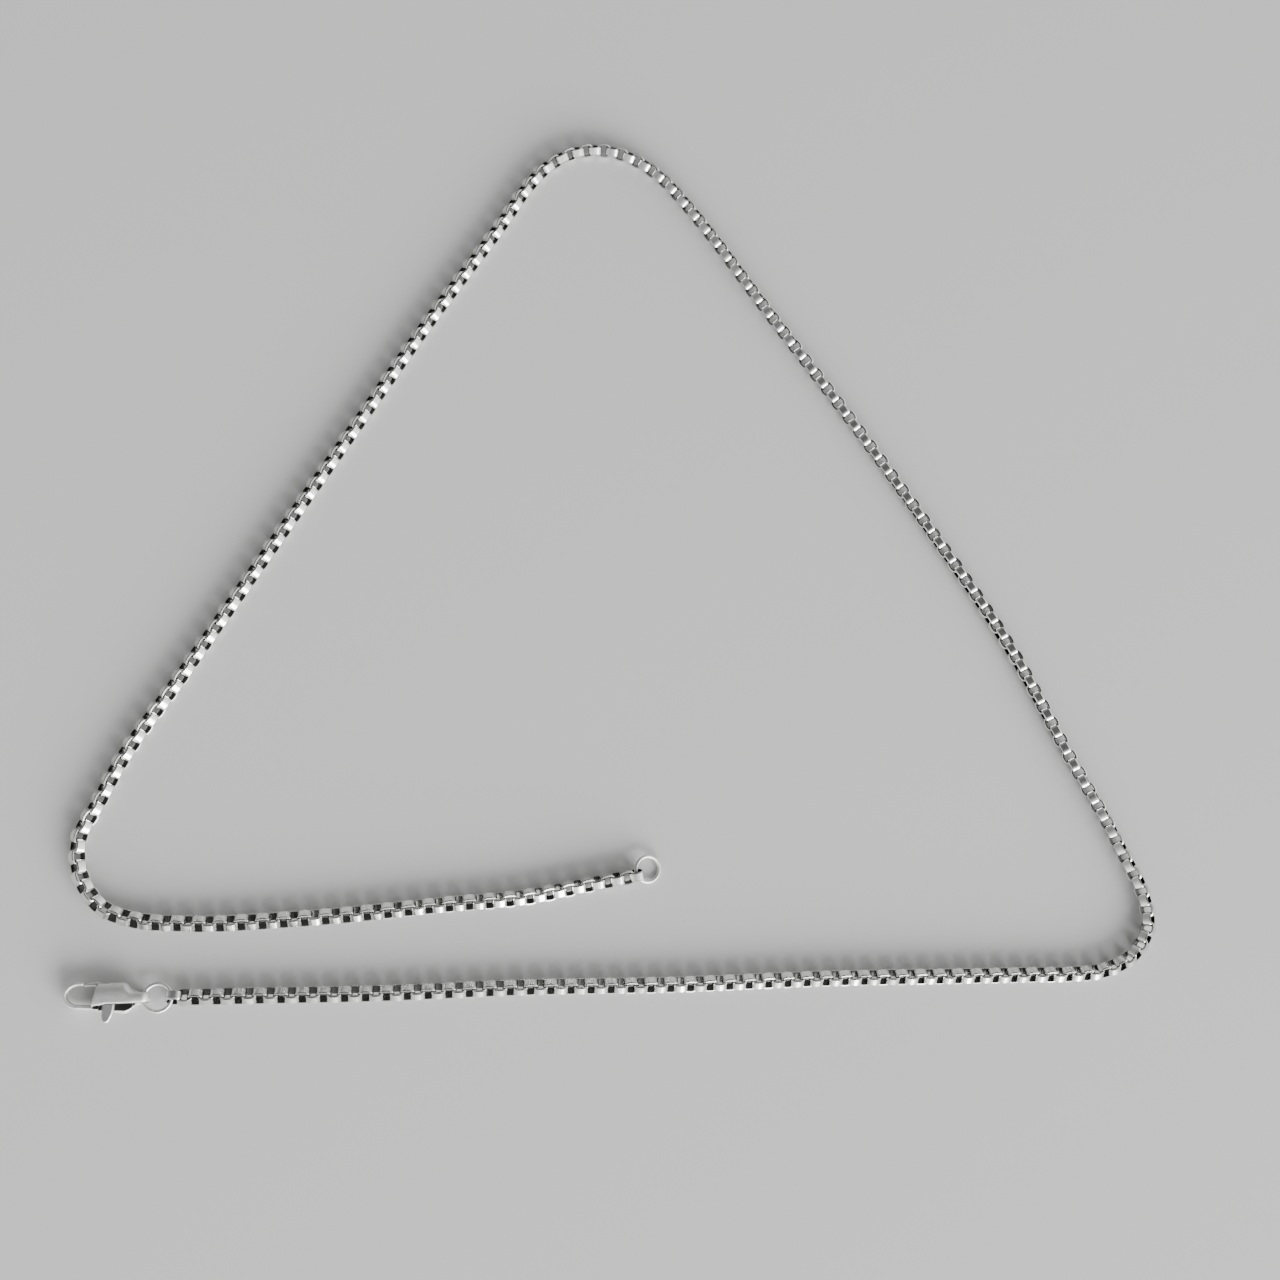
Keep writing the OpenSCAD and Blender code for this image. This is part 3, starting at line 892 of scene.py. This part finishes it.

# %% [markdown]
# ## The lever
# The lever is one stamped plate: a hub on the rivet, the gate arm that closes the hook, and
# the thumb tab that stands out of the near side. Its outlines are listed, and the tab's is
# rounded by cutting its corners again and again. The plate's upper edge is bevelled, which
# gives it its bright rim. A second, smaller and higher blank on each outline makes that
# bevel, because Blender's Bevel would also catch the edges where the three parts meet. The
# arm ends on a circle round the rivet, just short of the hook's tip.

# %% Lever
TAB_W, TAB_LEN = 1.6, 4.15
# shares of the tab's width to the tail's side, and of its length outwards
TAB = [(-0.58, 0), (-0.58, 0.55), (-0.58, 0.90), (-0.40, 1.04), (-0.05, 1.06), (0.20, 0.98),
       (0.56, 0.66), (0.58, 0)]
# from beyond the hook's tip along the arm's far side to the hub, and back on its near side
ARM = [(-10.216, 2.15), (-7.7, 2.5), (pivot_x, pivot_y + HUB_R), (pivot_x - HUB_R, pivot_y),
       (-8.1, 1.85), (-10.216, 1.75)]
BEVEL, PIN_GAP = 0.14, 0.04
LEVER_CELL, LEVER_PASSES = 0.05, 18


def rounded_outline(corners, passes=3):
    """Cuts every corner at a quarter of its two sides, again and again, which rounds it."""
    points = np.asarray(corners, float)
    for _ in range(passes):
        after = np.roll(points, -1, axis=0)
        points = np.stack([0.75 * points + 0.25 * after, 0.25 * points + 0.75 * after], axis=1)
        points = points.reshape(-1, 2)
    return points


def inset(outline, depth):
    """Moves every point of an outline inwards by depth, at right angles to the line between
    its two neighbours. Which side is inside comes from the sign of the outline's area."""
    points = np.asarray(outline, float)
    before, after = np.roll(points, 1, axis=0), np.roll(points, -1, axis=0)
    left = (after - before)[:, ::-1] * [-1, 1]
    left /= np.linalg.norm(left, axis=1)[:, None]
    area = (points[:, 0] * after[:, 1] - after[:, 0] * points[:, 1]).sum()
    return points + depth * np.sign(area) * left


tab = rounded_outline([(pivot_x + u * TAB_W, pivot_y - v * TAB_LEN) for u, v in TAB])
low, high = LEVER_LEVELS
lever = prism("lever_blank", circle(PIVOT, HUB_R), low, high)
gate_reach = prism("gate_reach", circle(PIVOT, swing - SLOT_GAP, steps=128), 0, CLASP_T)
for name, outline in (("gate", ARM), ("tab", tab)):
    for part, depth, top in (("blank", 0, high - BEVEL), ("crown", BEVEL, high)):
        blank = prism(name + "_" + part, inset(outline, depth), low, top)
        if name == "gate":
            cut(blank, "INTERSECT", gate_reach)
        cut(lever, "UNION", blank)
cut(lever, "DIFFERENCE", prism("lever_bore", circle(PIVOT, PIN_R + PIN_GAP), 0, CLASP_T))
soften(lever, LEVER_CELL, LEVER_PASSES)
lever_mesh = baked(lever)
print("lever: %d faces" % len(lever_mesh.polygons))

# %% [markdown]
# ## The painted shade of the slot
# The inside of the slot, and what the cut-back wall lays open, get painted shade as dark as
# the inside of the links, for the shade that falls in that recess. Two soft masks on the
# casting's vertices say where: the shelf nearer than the crease, up to the bright lip at its
# rim, and the walls of the slot itself. They are worked out from the same edges as the
# surface, so they lie exactly along them.

# %% Slot painted shade
# mm over which the shelf's painted shade begins, and width and height of the lip that stays
# without it
SHELF_SOFT, LIP = 0.15, 0.4
# half the slot's height with its rounded edges, mm from the sides over which its painted shade
# begins, and how far behind the front end it starts
SLOT_HALF, SLOT_SOFT, SLOT_START = 0.6, 0.4, 0.2


def slot_painted_shade(mesh):
    """Share of painted shade, the larger of two products of smooth steps: crease to shelf times
    lip to shelf, and near rim to slot times far side to slot, each only at its own heights and
    lengths."""
    places = np.empty(len(mesh.vertices) * 3, np.float32)
    mesh.vertices.foreach_get("co", places)
    x, y, z = places.reshape(-1, 3).T
    from_rim = near_edge(x) + y
    shelf = ramp((crease_at(x) - y) / SHELF_SOFT) * ramp((from_rim - LIP) / SHELF_SOFT)
    shelf = shelf * (z > LIP) * (x > -BODY_LEN)
    slot = ramp(from_rim / SLOT_SOFT) * ramp((back_edge(x) - y) / SLOT_SOFT)
    slot = slot * (np.abs(z - CLASP_T / 2) < SLOT_HALF)
    slot = slot * (x > -BODY_LEN + SLOT_START) * (x < -TAIL_LEN)
    return np.maximum(shelf, slot)


# painted shade on the shelf and in the slot
slot_shade = slot_painted_shade(clasp_mesh)
set_painted_shade(clasp_mesh, slot_shade)
print("dark share of the casting's vertices: %.2f" % (slot_shade > 0.5).mean())

# %% [markdown]
# ## The clasp's pieces
# The scratch objects have done their work and go. The three meshes are moved from the clasp's
# own millimetres to their place in the frame, in the mesh and not on the object, because a
# finished piece's object stays at the origin. The gate rides on the lever's body, so it turns
# when the joint turns; the casting and the rivet stay with the rest.

# %% Clasp pieces
def piece_from(name, mesh, material, slot_name, body, *nodes):
    """A finished piece from a mesh in clasp millimetres: moved to its place and in metres."""
    mesh.name = name
    mesh.transform(Matrix.Scale(MM, 4) @ Matrix.Translation(clasp_at))
    piece = add_piece(name, mesh, material, body)
    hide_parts(*nodes)
    return piece


for thing in scratch:
    bpy.data.objects.remove(thing)
piece_from("clasp_casting", clasp_mesh, clasp_steel, "clasp_steel", "root", "clasp_body")
piece_from("clasp_gate", lever_mesh, lever_steel, "lever_steel", "lever", "clasp_lever")
piece_from("clasp_rivet", pin_mesh, clasp_steel, "clasp_steel", "root", "clasp_pin")
print("clasp: %d faces, gate: %d faces, rivet: %d faces"
      % (len(clasp_mesh.polygons), len(lever_mesh.polygons), len(pin_mesh.polygons)))
